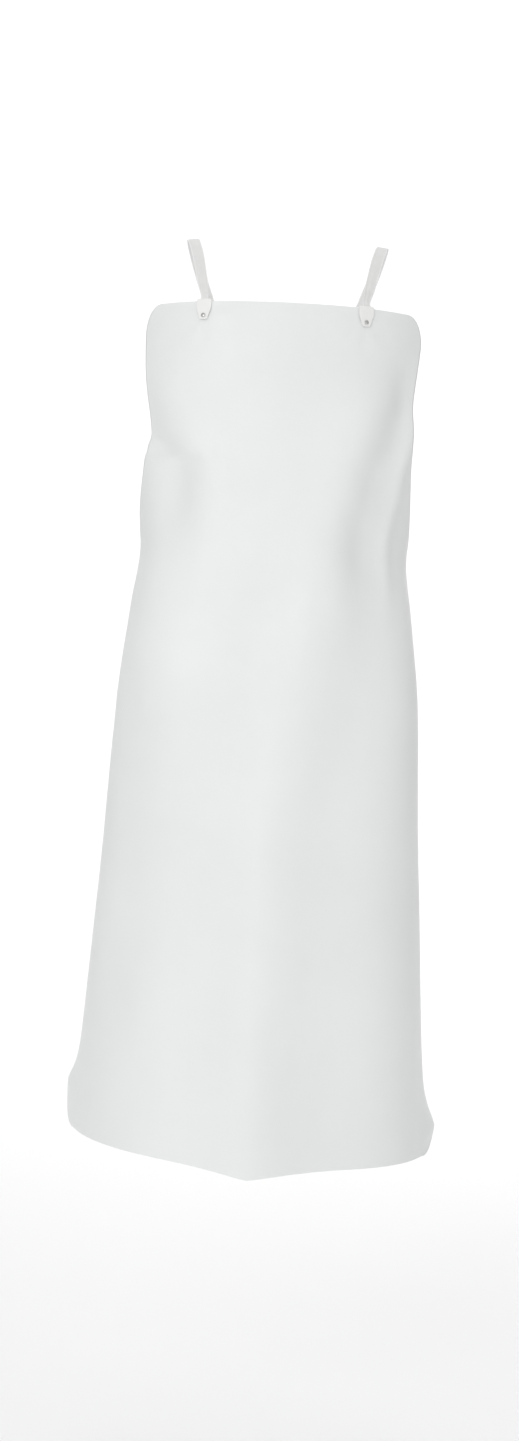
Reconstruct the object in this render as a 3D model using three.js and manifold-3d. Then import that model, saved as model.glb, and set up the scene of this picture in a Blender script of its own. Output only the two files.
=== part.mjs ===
// Butcher apron: one smooth bib-and-skirt sheet, worn, on a cross-back harness of woven tape.
// Millimetres, +Z up, the front faces -Y and +X is the wearer's left.
// The origin lies midway between the shoulders, at the underside of the straps.
import * as THREE from 'three';
import { mergeVertices } from 'three/addons/utils/BufferGeometryUtils.js';
import Module from 'manifold-3d';

const wasm = await Module();
wasm.setup();

const gap = 0.3; // between pieces that touch
const standOff = 1.0; // of flat tape from the curved sheet
const degree = Math.PI / 180;

// ---- driving dimensions ----

const sheet = {
  thickness: 0.5,
  top: -98, // height of the bib's upper edge
  length: 1091, // bib edge to hem, down the middle
  bibHalf: 199, // half widths are measured along the cloth
  neckHalf: 188, // narrowest, where the armholes start
  waistHalf: 345,
  hemHalf: 372,
  bibCornerAcross: 30,
  bibCornerDown: 42,
  armholeStart: 150, // below the bib's upper edge
  armholeEnd: 382,
  armholeSweep: 2.3, // how late the armhole turns outwards
  waistCornerBlend: 7,
  hemCorner: 75,
  columns: 56,
};

const tape = { width: 15, thickness: 1 };

const bibTab = { across: 20, above: 2.5, below: 24, thickness: 0.8, foot: 11, offset: 105 };

const rivet = { head: 2.8, headHeight: 1.1, shank: 1.3, burr: 3.6, burrHeight: 0.8, below: 19, sides: 14 };

const ring = { bar: 3.5, thickness: 2.2, window: 9, sidePlay: 1, cornerRadius: 2.5 };

const ringTab = { leaf: 26, rivetInset: 13, reach: 8, armholeAngle: 74.47 };

const slider = { length: 10, wall: 2, cornerRadius: 1.5, centreBar: 1.4, slotPlay: 0.35, place: 72 };

// The shoulder strap: its width where it is pinched under the bib's tab, the end past the rivet, the
// straight run into the slider and the tail that comes back through it, from the slider's middle.
const strap = { pinched: 10, end: 3.5, tail: 66, entry: 70, run: 22 };

// The waist strap: below the armholes' end, as far back as the buckle, on the cloth and past its edge.
const waist = { below: 52, back: 112, onCloth: 24, past: 12, entry: 38, tail: 34 };

const backPatch = { across: 30, thickness: 1.2, margin: 2 };

const buckle = {
  halfWidth: 12,
  thickness: 8,
  cornerRadius: 1.5,
  housing: 22,
  plug: 6,
  cavityHalf: 9.6,
  cavityThickness: 4.8,
  cavityDepth: 19,
  bar: 3,
  barThickness: 3,
  slot: 4.4,
  tongueHalf: 1.4,
  armThickness: 2.2,
  armOffset: 5.6,
  head: 7.4,
  armSplay: 0.8,
  hook: 0.2, // past the housing's side
  lockFace: 5,
  windowEnd: 16,
  slotPlay: 0.8,
};

// How the sheet lies on the wearer, from the bib's edge down to the hem: depth of the front, angle of
// the soft ridge down the middle, the turn round the sides with where it starts and ends along the
// cloth, and how far the cloth is drawn up at the sides. The ridge and the draw fade over the same
// reach, and the ridge's crest is rounded.
const drape = { fade: 120, ridgeRadius: 8, step: 5 };
const worn = [
  { drop: 0, front: 126, ridge: 14, turn: 90, from: 20, to: sheet.bibHalf + 161, rise: 0 },
  { drop: sheet.armholeStart + 6, front: 142, ridge: 8, turn: 100, from: 5, to: sheet.neckHalf + 192, rise: 0 },
  { drop: sheet.armholeEnd - 98, front: 150, ridge: 3, turn: 130, from: -10, to: sheet.waistHalf + 55, rise: 0 },
  { drop: sheet.armholeEnd, front: 150, ridge: 2, turn: 170, from: 27, to: sheet.waistHalf + 85, rise: 0 },
  { drop: sheet.armholeEnd + 120, front: 152, ridge: 2, turn: 150, from: 29, to: sheet.waistHalf + 85, rise: 0 },
  { drop: sheet.armholeEnd + 380, front: 160, ridge: 6, turn: 118, from: 8, to: sheet.waistHalf + 85, rise: 6 },
  { drop: sheet.length, front: 178, ridge: 10, turn: 90, from: 3, to: sheet.hemHalf + 28, rise: 20 },
];

// ---- colours and finishes ----

const finishes = {
  film: { color: 0xe6e8e7, roughness: 0.45, metalness: 0 },
  webbing: { color: 0xe4e4e4, roughness: 0.9, metalness: 0 },
  patch: { color: 0xeaeae8, roughness: 0.55, metalness: 0 },
  moulding: { color: 0xe8e8e6, roughness: 0.5, metalness: 0 },
  steel: { color: 0x9a9a98, roughness: 0.3, metalness: 1 },
};

const apron = new THREE.Group();

function add(name, geometry, finish, parent = apron) {
  const mesh = new THREE.Mesh(geometry, new THREE.MeshStandardMaterial(finishes[finish]));
  mesh.name = name;
  parent.add(mesh);
  return mesh;
}

// ---- solids ----

function bare(geometry) {
  const copy = geometry.clone();
  for (const name of Object.keys(copy.attributes)) {
    if (name !== 'position') copy.deleteAttribute(name);
  }
  return mergeVertices(copy, 1e-4);
}

function solid(geometry) {
  const merged = bare(geometry);
  const vertProperties = new Float32Array(merged.attributes.position.array);
  const triVerts = new Uint32Array(merged.index.array);
  return new wasm.Manifold(new wasm.Mesh({ numProp: 3, vertProperties, triVerts }));
}

function geometryOf(body) {
  const { vertProperties, triVerts } = body.getMesh();
  const geometry = new THREE.BufferGeometry();
  geometry.setAttribute('position', new THREE.BufferAttribute(vertProperties, 3));
  geometry.setIndex(new THREE.BufferAttribute(triVerts, 1));
  geometry.computeVertexNormals();
  return geometry;
}

function cut(geometry, ...tools) {
  return geometryOf(tools.reduce((body, tool) => body.subtract(solid(tool)), solid(geometry)));
}

function box(x0, x1, y0, y1, z0, z1) {
  const block = new THREE.BoxGeometry(Math.abs(x1 - x0), y1 - y0, z1 - z0);
  return block.translate((x0 + x1) / 2, (y0 + y1) / 2, (z0 + z1) / 2);
}

// ---- the sheet's surface ----

const smooth = (t) => {
  const c = THREE.MathUtils.clamp(t, 0, 1);
  return c * c * (3 - 2 * c);
};

// One smooth value between the stations of the list above.
function between(key, drop) {
  const last = worn.length - 1;
  const next = worn.findIndex((station, i) => i > 0 && (drop < station.drop || i === last));
  const [a, b] = [worn[next - 1], worn[next]];
  const slope = (i) => {
    const low = worn[Math.max(i - 1, 0)];
    const high = worn[Math.min(i + 1, last)];
    return (high[key] - low[key]) / (high.drop - low.drop);
  };
  const span = b.drop - a.drop;
  const t = THREE.MathUtils.clamp((drop - a.drop) / span, -0.5, 1);
  const [t2, t3] = [t * t, t * t * t];
  return (2 * t3 - 3 * t2 + 1) * a[key] + (t3 - 2 * t2 + t) * span * slope(next - 1)
    + (3 * t2 - 2 * t3) * b[key] + (t3 - t2) * span * slope(next);
}

// Half width of the flat pattern at a distance below the bib's upper edge.
function halfWidth(drop) {
  const { bibHalf, neckHalf, waistHalf, hemHalf, armholeStart, armholeEnd, length } = sheet;
  const bib = bibHalf - (bibHalf - neckHalf) * smooth(drop / armholeStart);
  const along = Math.max(0, (drop - armholeStart) / (armholeEnd - armholeStart));
  const armhole = bib + (waistHalf - neckHalf) * along ** sheet.armholeSweep;
  const flare = Math.max(0, drop - armholeEnd) / (length - armholeEnd);
  const side = waistHalf + (hemHalf - waistHalf) * flare;
  const blend = sheet.waistCornerBlend;
  const corner = blend * Math.log1p(Math.exp(-Math.abs(armhole - side) / blend));
  const outline = Math.min(armhole, side) - corner;
  const topCorner = Math.max(0, 1 - drop / sheet.bibCornerDown);
  const hemCorner = Math.max(0, 1 - (length - drop) / sheet.hemCorner);
  return outline - sheet.bibCornerAcross * (1 - Math.sqrt(1 - topCorner ** 2))
    - sheet.hemCorner * (1 - Math.sqrt(Math.max(0, 1 - hemCorner ** 2)));
}

// A point of the worn sheet: s runs along the cloth from the middle, drop runs down from the bib's
// edge and out is measured off the outer face. The section turns round the wearer by arc length.
function onSheet(s, drop, out = 0) {
  const reach = Math.abs(s);
  const ridge = between('ridge', drop) * degree;
  const turn = between('turn', drop) * degree;
  const from = between('from', drop);
  const to = between('to', drop);
  const crest = (r) => ridge * Math.exp(-r / drape.fade) * Math.min(1, r / drape.ridgeRadius);
  const heading = (r) => crest(r) + turn * smooth((r - from) / (to - from));
  const steps = Math.max(1, Math.ceil(reach / drape.step));
  const step = reach / steps;
  let x = 0;
  let y = -between('front', drop);
  for (let i = 0; i < steps; i += 1) {
    x += Math.cos(heading((i + 0.5) * step)) * step;
    y += Math.sin(heading((i + 0.5) * step)) * step;
  }
  const end = heading(reach);
  x += Math.sin(end) * out;
  y -= Math.cos(end) * out;
  const z = sheet.top - drop + between('rise', drop) * (1 - Math.exp(-reach / drape.fade));
  return new THREE.Vector3(s < 0 ? -x : x, y, z);
}

// Directions on the sheet at a place: along the cloth to the side, up, and straight out.
function sheetFrame(s, drop) {
  const at = onSheet(s, drop);
  const side = onSheet(s + 1, drop).sub(onSheet(s - 1, drop)).normalize();
  const up = onSheet(s, drop - 1).sub(onSheet(s, drop + 1)).normalize();
  const out = new THREE.Vector3().crossVectors(side, up).normalize();
  return { at, side, up: new THREE.Vector3().crossVectors(out, side), out };
}

// Rows of the sheet, close together where its outline turns and at the waist strap's rivets.
function sheetRows() {
  const { length, hemCorner, bibCornerDown, armholeStart, armholeEnd } = sheet;
  const rows = [];
  for (const turn of [0, 18, 36, 54, 72, 90]) rows.push(bibCornerDown * (1 - Math.cos(turn * degree)));
  for (let i = 1; i <= 3; i += 1) rows.push(bibCornerDown + (armholeStart - bibCornerDown) * i / 3);
  for (let i = 1; i <= 8; i += 1) rows.push(armholeStart + (armholeEnd - 16 - armholeStart) * i / 8);
  for (const past of [-8, 0, 9, 20]) rows.push(armholeEnd + past);
  for (const past of [-8, 8]) rows.push(waistDrop + past);
  const skirt = waistDrop + 8;
  for (let i = 1; i <= 9; i += 1) rows.push(skirt + (length - hemCorner - skirt) * i / 9);
  for (const turn of [18, 36, 54, 72, 90]) rows.push(length - hemCorner * (1 - Math.sin(turn * degree)));
  return rows;
}

function sheetGeometry() {
  const rows = sheetRows();
  const geometry = new THREE.BoxGeometry(2, 1, 1, sheet.columns, rows.length - 1, 1);
  const points = geometry.attributes.position;
  for (let i = 0; i < points.count; i += 1) {
    const drop = rows[Math.round((0.5 - points.getY(i)) * (rows.length - 1))];
    const outward = points.getZ(i) > 0 ? 0 : -sheet.thickness;
    const placed = onSheet(points.getX(i) * halfWidth(drop), drop, outward);
    points.setXYZ(i, ...placed);
  }
  // Both walls are split along the same diagonals, so that such a thin sheet never crosses itself.
  const { start, count } = geometry.groups.at(-1);
  const index = geometry.index;
  for (let i = start; i < start + count; i += 6) {
    const [a, b, d, c] = [0, 1, 2, 4].map((k) => index.getX(i + k));
    [a, b, c, a, c, d].forEach((corner, k) => index.setX(i + k, corner));
  }
  return geometry;
}

// ---- tape ----

// A flat tape through a list of frames: each has its middle, its outward direction and its width.
function tapeGeometry(frames, thickness = tape.thickness) {
  const geometry = new THREE.BoxGeometry(1, 1, 1, 1, 1, frames.length - 1);
  const points = geometry.attributes.position;
  const sides = frames.map(({ out }, i) => {
    const ahead = frames[Math.min(i + 1, frames.length - 1)].at;
    const behind = frames[Math.max(i - 1, 0)].at;
    return new THREE.Vector3().crossVectors(out, ahead.clone().sub(behind)).normalize();
  });
  for (let i = 0; i < points.count; i += 1) {
    const k = Math.round((points.getZ(i) + 0.5) * (frames.length - 1));
    const { at, out, width = tape.width } = frames[k];
    const placed = at.clone()
      .addScaledVector(sides[k], points.getX(i) * width)
      .addScaledVector(out, points.getY(i) * thickness);
    points.setXYZ(i, ...placed);
  }
  return geometry;
}

// Frames along a smooth route through chosen points, each with its outward direction.
function route(stops, count) {
  const path = new THREE.CatmullRomCurve3(stops.map((stop) => stop.at), false, 'centripetal');
  const lean = new THREE.CatmullRomCurve3(stops.map((stop) => stop.out), false, 'catmullrom');
  const width = stops.map((stop) => stop.width ?? tape.width);
  const frames = [];
  for (let i = 0; i <= count; i += 1) {
    const t = i / count;
    const tangent = path.getTangent(t);
    const out = lean.getPoint(t);
    out.addScaledVector(tangent, -out.dot(tangent)).normalize();
    const place = t * (stops.length - 1);
    const k = Math.min(Math.floor(place), stops.length - 2);
    frames.push({ at: path.getPoint(t), out, width: THREE.MathUtils.lerp(width[k], width[k + 1], place - k) });
  }
  return frames;
}

const v = (x, y, z) => new THREE.Vector3(x, y, z);

// ---- rivets ----

// A domed rivet through a stack, drawn with its axis up: the stack's top face is at 0.
function rivetGeometry(stack) {
  const { head, headHeight, shank, burrHeight } = rivet;
  const profile = [v(0, -stack - burrHeight - gap, 0), v(shank, -stack - burrHeight - gap, 0), v(shank, 0, 0)];
  profile.push(v(head, 0, 0), v(head, headHeight * 0.35, 0), v(head * 0.8, headHeight * 0.8, 0));
  profile.push(v(head * 0.4, headHeight, 0), v(0, headHeight, 0));
  return new THREE.LatheGeometry(profile.map((p) => new THREE.Vector2(p.x, p.y)), rivet.sides);
}

function burrGeometry() {
  const hole = rivet.shank + gap;
  const profile = [[hole, 0], [rivet.burr, 0], [rivet.burr, rivet.burrHeight], [hole, rivet.burrHeight], [hole, 0]];
  return new THREE.LatheGeometry(profile.map(([x, y]) => new THREE.Vector2(x, y)), rivet.sides);
}

function punch() {
  return new THREE.CylinderGeometry(rivet.shank + gap, rivet.shank + gap, 24, rivet.sides);
}

// Turns a shape drawn with its axis along Y so that the axis points out, and moves it there.
function place(geometry, at, out, offset = 0) {
  const turn = new THREE.Quaternion().setFromUnitVectors(v(0, 1, 0), out);
  return geometry.applyQuaternion(turn).translate(...at.clone().addScaledVector(out, offset));
}

// ---- straight lines that the tape pulls along ----

// The line of a harness strap at a waist corner. Past the sheet's edge it is straight, so the ring
// and the slider stay on it, and before the edge it follows the sheet. It leaves the waist corner at
// a set angle to the armhole's edge, so that the ring stays clear of the sheet. side is 1 on the left.
function harnessLine(side) {
  const drop = sheet.armholeEnd + 5;
  const s = halfWidth(drop);
  const reach = 12; // how far up the armhole's edge its slope is taken
  const slope = Math.atan2(reach, s - halfWidth(drop - reach));
  const rise = Math.PI - slope - ringTab.armholeAngle * degree;
  const mirrored = (p) => p.setX(p.x * side);
  const edge = sheetFrame(s, drop);
  const along = edge.side.clone().multiplyScalar(Math.cos(rise)).addScaledVector(edge.up, Math.sin(rise));
  const clothAt = (q) => [s + q * Math.cos(rise), drop - q * Math.sin(rise)];
  return {
    at(q, n = 0) {
      if (q < 0) return mirrored(onSheet(...clothAt(q), n));
      return mirrored(edge.at.clone().addScaledVector(along, q).addScaledVector(edge.out, n));
    },
    out: (q) => mirrored(q < 0 ? sheetFrame(...clothAt(q)).out : edge.out.clone()),
    along: mirrored(along.clone()),
  };
}

// The line of a waist strap at its buckle bar, level across the back.
function waistLine(side) {
  const start = v(side * buckleBar, waist.back, waistHeight);
  return {
    at: (q, n = 0) => start.clone().add(v(side * q, n, 0)),
    out: () => v(0, 1, 0),
    along: v(side, 0, 0),
  };
}

// Sets a shape drawn with X along a line, Z out and Y across on the line.
function setOn(line, q, n, geometry) {
  const out = line.out(q);
  const across = new THREE.Vector3().crossVectors(out, line.along);
  const basis = new THREE.Matrix4().makeBasis(line.along, across, out).setPosition(line.at(q, n));
  return geometry.applyMatrix4(basis);
}

// Frames of a tape drawn as points [q, n] beside a line. facing is 1 where the tape's outer face is
// on the left of its run.
function beside(line, points, facing) {
  return points.map(([q, n], i) => {
    const ahead = points[Math.min(i + 1, points.length - 1)];
    const behind = points[Math.max(i - 1, 0)];
    const run = new THREE.Vector2(ahead[0] - behind[0], ahead[1] - behind[1]).normalize();
    const out = line.out(q).multiplyScalar(run.x * facing).addScaledVector(line.along, -run.y * facing);
    return { at: line.at(q, n), out };
  });
}

function halfTurn(q, n, radius, firstAngle, lastAngle) {
  const points = [];
  for (let i = 0; i <= 8; i += 1) {
    const a = THREE.MathUtils.lerp(firstAngle, lastAngle, i / 8) * degree;
    points.push([q + radius * Math.cos(a), n + radius * Math.sin(a)]);
  }
  return points;
}

const loopRadius = Math.hypot(ring.bar, ring.thickness) / 2 + gap + tape.thickness / 2;
const layer = slider.centreBar / 2 + slider.slotPlay + tape.thickness / 2;

// The end of a strap: it comes in on the wearer's side, turns round a bar and lies back on itself.
function turnedEnd(line, bar, middle, tail, spacing = layer) {
  const settle = bar + 16;
  const easing = (spacing + loopRadius) / 2;
  const inner = [[settle + 8, -spacing], [settle, -spacing], [bar + 8, -easing]];
  const outer = [[bar + 8, easing], [settle, spacing], [tail, spacing]];
  const points = [...inner, ...halfTurn(bar, 0, loopRadius, 270, 90), ...outer];
  return beside(line, points.map(([q, n]) => [q, n + middle]), -1);
}

// ---- places ----

const ringMiddle = -(sheet.thickness + gap) / 2;
const nearBar = ringTab.reach;
const farBar = nearBar + ring.bar + ring.window;
const waistDrop = sheet.armholeEnd + waist.below;
const waistHeight = sheet.top - waistDrop;
const buckleBar = (buckle.housing + buckle.plug) / 2 + buckle.slot + buckle.bar / 2;
const mouth = (buckle.plug - buckle.housing) / 2;
const crossing = v(0, 128, -246);
const crossingRun = v(-0.47, 0, -0.88).normalize(); // of the left strap
const crossingLift = (tape.thickness + standOff) / 2;
const patchLift = crossingLift + tape.thickness / 2 + 2 * gap;

// A strap's way from the bib over the left shoulder to the crossing, by its middle line.
const shoulder = [
  { at: v(106, -92, -72), out: v(0.3, -0.9, 0.3), width: 14 },
  { at: v(114, -66, -34), out: v(0.2, -0.7, 0.65) },
  { at: v(121, -34, -9), out: v(0.15, -0.35, 0.9) },
  { at: v(125, 0, tape.thickness / 2), out: v(0.1, 0, 1) },
  { at: v(123, 34, -8), out: v(0.1, 0.4, 0.9) },
  { at: v(114, 66, -34), out: v(0.15, 0.75, 0.65) },
  { at: v(98, 92, -74), out: v(0.2, 0.9, 0.35) },
  { at: v(73, 111, -124), out: v(0.15, 1, 0.15) },
  { at: v(38, 123, -182), out: v(0.05, 1, 0.05) },
];

// ---- the sheet and its tabs ----

function bibRivetPlace(side) {
  return sheetFrame(side * bibTab.offset, rivet.below);
}

function ringRivetPlace(side) {
  const line = harnessLine(side);
  return { at: line.at(-ringTab.rivetInset), out: line.out(-ringTab.rivetInset) };
}

function waistRivetPlace(side) {
  const s = side * (halfWidth(waistDrop) - ringTab.rivetInset);
  return sheetFrame(s, waistDrop);
}

function panelGeometry() {
  const punches = [];
  for (const side of [1, -1]) {
    for (const { at, out } of [bibRivetPlace(side), ringRivetPlace(side), waistRivetPlace(side)]) {
      punches.push(place(punch(), at, out));
    }
  }
  return cut(sheetGeometry(), ...punches);
}

// The shield-shaped patch over a strap's end, laid on the curve of the sheet.
function bibTabGeometry(side) {
  const { across, above, below, thickness, foot, offset } = bibTab;
  const rows = 8;
  const geometry = new THREE.BoxGeometry(1, 1, 1, 6, rows, 1);
  const points = geometry.attributes.position;
  const low = gap * 2 + tape.thickness;
  for (let i = 0; i < points.count; i += 1) {
    const down = 0.5 - points.getY(i);
    const narrowing = smooth((down - 0.35) / 0.65);
    const width = across - (across - foot) * narrowing;
    const s = side * offset + points.getX(i) * width;
    const drop = -above + down * (above + below);
    points.setXYZ(i, ...onSheet(s, drop, low + (points.getZ(i) > 0 ? thickness : 0)));
  }
  const { at, out } = bibRivetPlace(side);
  return cut(geometry, place(punch(), at, out));
}

// ---- straps ----

function strapGeometry(side) {
  const lift = gap + tape.thickness / 2;
  const tucked = [rivet.below + strap.end, rivet.below, 9, 0, -8].map((drop) => {
    const { at, out } = sheetFrame(bibTab.offset, drop);
    return { at: at.addScaledVector(out, lift), out, width: strap.pinched };
  });
  const line = harnessLine(-1);
  const end = turnedEnd(line, farBar, ringMiddle, farBar + slider.place + strap.tail);
  const flat = backPatch.across / 2 + backPatch.margin; // the straps lie flat under the patch
  const meet = [-1.7 * flat, -flat, 0, flat, 1.7 * flat].map((past) => {
    const at = crossing.clone().addScaledVector(crossingRun, past);
    return { at: at.add(v(0, side * crossingLift, 0)), out: v(0, 1, 0) };
  });
  const entry = farBar + slider.place + strap.entry;
  const middle = ringMiddle - layer;
  const straight = [entry + strap.run, entry].map((q) => ({ at: line.at(q, middle), out: line.out(q) }));
  const frames = [...route([...tucked, ...shoulder, ...meet, ...straight], 66), ...end];
  const { at, out } = bibRivetPlace(1);
  const holes = [place(punch(), at, out), place(punch(), crossing, v(0, 1, 0))];
  return cut(tapeGeometry(frames), ...holes);
}

// The right strap is the left one seen in a mirror, under it at the crossing.
function mirroredGeometry(geometry) {
  const index = geometry.index.array;
  for (let i = 0; i < index.length; i += 3) [index[i + 1], index[i + 2]] = [index[i + 2], index[i + 1]];
  const points = geometry.attributes.position;
  for (let i = 0; i < points.count; i += 1) points.setX(i, -points.getX(i));
  geometry.computeVertexNormals();
  return geometry;
}

function ringTabGeometry() {
  const line = harnessLine(1);
  const outer = standOff + tape.thickness / 2;
  const inner = -sheet.thickness - outer;
  const inset = -ringTab.rivetInset;
  const leaf = [-ringTab.leaf, inset * 1.5, inset, inset / 2, 0];
  const points = [...leaf.map((q) => [q, outer]), ...halfTurn(nearBar, ringMiddle, loopRadius, 90, -90)];
  points.push(...leaf.reverse().map((q) => [q, inner]));
  const { at, out } = ringRivetPlace(1);
  return cut(tapeGeometry(beside(line, points, 1)), place(punch(), at, out));
}

function waistStrapGeometry() {
  const lift = standOff + tape.thickness / 2;
  const edge = halfWidth(waistDrop);
  const onCloth = [edge - waist.onCloth, edge - ringTab.rivetInset, edge, edge + waist.past].map((s) => {
    const { at, out } = sheetFrame(s, waistDrop);
    return { at: at.addScaledVector(out, lift).setZ(waistHeight), out };
  });
  const line = waistLine(1);
  const spacing = tape.thickness / 2 + gap / 2;
  const end = turnedEnd(line, 0, 0, waist.tail, spacing);
  const entry = { at: line.at(waist.entry, -spacing), out: line.out() };
  const { at, out } = waistRivetPlace(1);
  const frames = [...route([...onCloth, entry], 20), ...end];
  return cut(tapeGeometry(frames), place(punch(), at, out));
}

// ---- ring, slider, patch ----

function roundedRectangle(width, height, radius) {
  const [a, b] = [width / 2 - radius, height / 2 - radius];
  const shape = new THREE.Shape();
  shape.absarc(a, b, radius, 0, Math.PI / 2);
  shape.absarc(-a, b, radius, Math.PI / 2, Math.PI);
  shape.absarc(-a, -b, radius, Math.PI, 1.5 * Math.PI);
  shape.absarc(a, -b, radius, 1.5 * Math.PI, 2 * Math.PI);
  shape.closePath();
  return shape;
}

function ringGeometry() {
  const { bar, window, thickness, sidePlay, cornerRadius } = ring;
  const inside = tape.width + 2 * sidePlay;
  const outline = roundedRectangle(window + 2 * bar, inside + 2 * bar, cornerRadius);
  outline.holes.push(roundedRectangle(window, inside, 1));
  const plate = new THREE.ExtrudeGeometry(outline, { depth: thickness, bevelEnabled: false, curveSegments: 4 });
  return plate.translate((window + bar) / 2, 0, -thickness / 2);
}

function sliderGeometry() {
  const slot = tape.thickness + 2 * slider.slotPlay;
  const inside = tape.width + 2 * slider.slotPlay;
  const height = slider.centreBar + 2 * (slot + slider.wall);
  const outline = roundedRectangle(height, inside + 2 * slider.wall, slider.cornerRadius);
  const hole = roundedRectangle(slot, inside, 0.4).getPoints(3);
  for (const level of [layer, -layer]) {
    outline.holes.push(new THREE.Path(hole.map((p) => new THREE.Vector2(p.x + level, p.y))));
  }
  const block = new THREE.ExtrudeGeometry(outline, { depth: slider.length, bevelEnabled: false, curveSegments: 4 });
  return block.translate(0, 0, -slider.length / 2).rotateY(-Math.PI / 2);
}

// The patch that covers the crossing: a flat octagon with the rivet through its middle.
function backPatchGeometry() {
  const { across, thickness } = backPatch;
  const radius = across / 2 / Math.cos(Math.PI / 8);
  const plate = new THREE.CylinderGeometry(radius, radius, thickness, 8).rotateY(Math.PI / 8);
  const centre = crossing.clone().setY(crossing.y + patchLift + thickness / 2);
  return cut(plate.translate(...centre), punch().translate(...centre));
}

// ---- the buckle, level across the back: X runs along the waist and Y out, from the mouth ----

// A frame with a bar for the tape at its far end. direction is 1 towards +X.
function barFrame(x, direction) {
  const { halfWidth: half, slot, bar, barThickness } = buckle;
  const far = x + direction * (slot + bar);
  const thick = barThickness / 2;
  const hole = tape.width / 2 + buckle.slotPlay;
  const frame = solid(box(x - direction, far, -thick, thick, 1 - half, half - 1));
  return frame.subtract(solid(box(x, x + direction * slot, -thick - 1, thick + 1, -hole, hole)));
}

function roundedBlock(x0, x1) {
  const shape = roundedRectangle(buckle.thickness, buckle.halfWidth * 2, buckle.cornerRadius);
  const block = new THREE.ExtrudeGeometry(shape, { depth: x1 - x0, bevelEnabled: false, curveSegments: 3 });
  return block.applyMatrix4(new THREE.Matrix4().makeBasis(v(0, 1, 0), v(0, 0, 1), v(1, 0, 0))).translate(x0, 0, 0);
}

function housingGeometry() {
  const { cavityHalf, cavityThickness, cavityDepth, housing, halfWidth: half, lockFace, windowEnd } = buckle;
  const thick = cavityThickness / 2;
  const cavity = solid(box(-1, cavityDepth, -thick, thick, -cavityHalf, cavityHalf));
  const windows = solid(box(lockFace, windowEnd, -thick, thick, -half - 1, half + 1));
  const body = solid(roundedBlock(0, housing)).subtract(cavity).subtract(windows);
  return geometryOf(body.add(barFrame(housing, 1)));
}

function plugGeometry() {
  const { plug, tongueHalf, cavityThickness, cavityDepth } = buckle;
  const thick = cavityThickness / 2 - 2 * gap;
  const tongue = solid(box(-1, cavityDepth - 1, -thick, thick, -tongueHalf, tongueHalf));
  return geometryOf(solid(roundedBlock(-plug, -gap)).add(tongue).add(barFrame(-plug, -1)));
}

// A springy arm of the plug, with the hooked head that snaps into the housing's side window.
function armGeometry(side) {
  const { armOffset, armThickness, armSplay, head, halfWidth: half, hook, lockFace } = buckle;
  const outer = armOffset + armThickness;
  const lock = lockFace + gap;
  const outline = [[0, armOffset], [lock + head, armOffset + armSplay], [lock + head, outer + armSplay / 2]];
  outline.push([lock + 3, half + hook], [lock, half + hook], [lock, outer], [0, outer]);
  const shape = new THREE.Shape(outline.map(([x, z]) => new THREE.Vector2(x, z)));
  const thick = buckle.cavityThickness / 2 - gap;
  const arm = new THREE.ExtrudeGeometry(shape, { depth: 2 * thick, bevelEnabled: false });
  return arm.translate(0, 0, -thick).rotateX(side * Math.PI / 2);
}

// ---- assembly ----

// Adds a left piece and its mirror image on the right.
function addPair(name, geometry, finish, other = bare(geometry)) {
  add(`left_${name}`, geometry, finish);
  add(`right_${name}`, mirroredGeometry(other), finish);
}

function rivetPair(name, { at, out }, top, stack) {
  addPair(`${name}_rivet`, place(rivetGeometry(stack), at, out, top), 'steel');
  const under = top - stack - gap - rivet.burrHeight;
  addPair(`${name}_burr`, place(burrGeometry(), at, out, under), 'steel');
}

add('apron_panel', panelGeometry(), 'film');

addPair('bib_tab', bibTabGeometry(1), 'patch');
const bibTop = 3 * gap + tape.thickness + bibTab.thickness;
rivetPair('bib', bibRivetPlace(1), bibTop, bibTop + sheet.thickness + gap);

addPair('shoulder_strap', strapGeometry(1), 'webbing', strapGeometry(-1));

const ringLine = harnessLine(1);
const leafTop = standOff + tape.thickness + gap;
addPair('ring_tab', ringTabGeometry(), 'webbing');
rivetPair('ring_tab', ringRivetPlace(1), leafTop, 2 * leafTop + sheet.thickness);
addPair('waist_ring', setOn(ringLine, nearBar, ringMiddle, ringGeometry()), 'moulding');
addPair('waist_slider', setOn(ringLine, farBar + slider.place, ringMiddle, sliderGeometry()), 'moulding');

add('back_patch', backPatchGeometry(), 'patch');
const backStack = backPatch.thickness + 3 * gap + 2 * crossingLift + tape.thickness;
const backTop = patchLift + backPatch.thickness + gap;
add('back_rivet', place(rivetGeometry(backStack), crossing, v(0, 1, 0), backTop), 'steel');
add('back_burr', place(burrGeometry(), crossing, v(0, 1, 0), backTop - backStack - gap - rivet.burrHeight), 'steel');

addPair('waist_strap', waistStrapGeometry(), 'webbing');
rivetPair('waist', waistRivetPlace(1), leafTop, leafTop + sheet.thickness + gap);

const clasp = new THREE.Group();
clasp.position.set(mouth, waist.back, waistHeight);
apron.add(clasp);
add('buckle_housing', housingGeometry(), 'moulding', clasp);
add('buckle_plug', plugGeometry(), 'moulding', clasp);
add('buckle_upper_arm', armGeometry(1), 'moulding', clasp);
add('buckle_lower_arm', armGeometry(-1), 'moulding', clasp);

export default apron;
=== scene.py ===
import math
import bmesh
import bpy
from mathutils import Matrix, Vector
from mathutils.noise import noise


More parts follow.
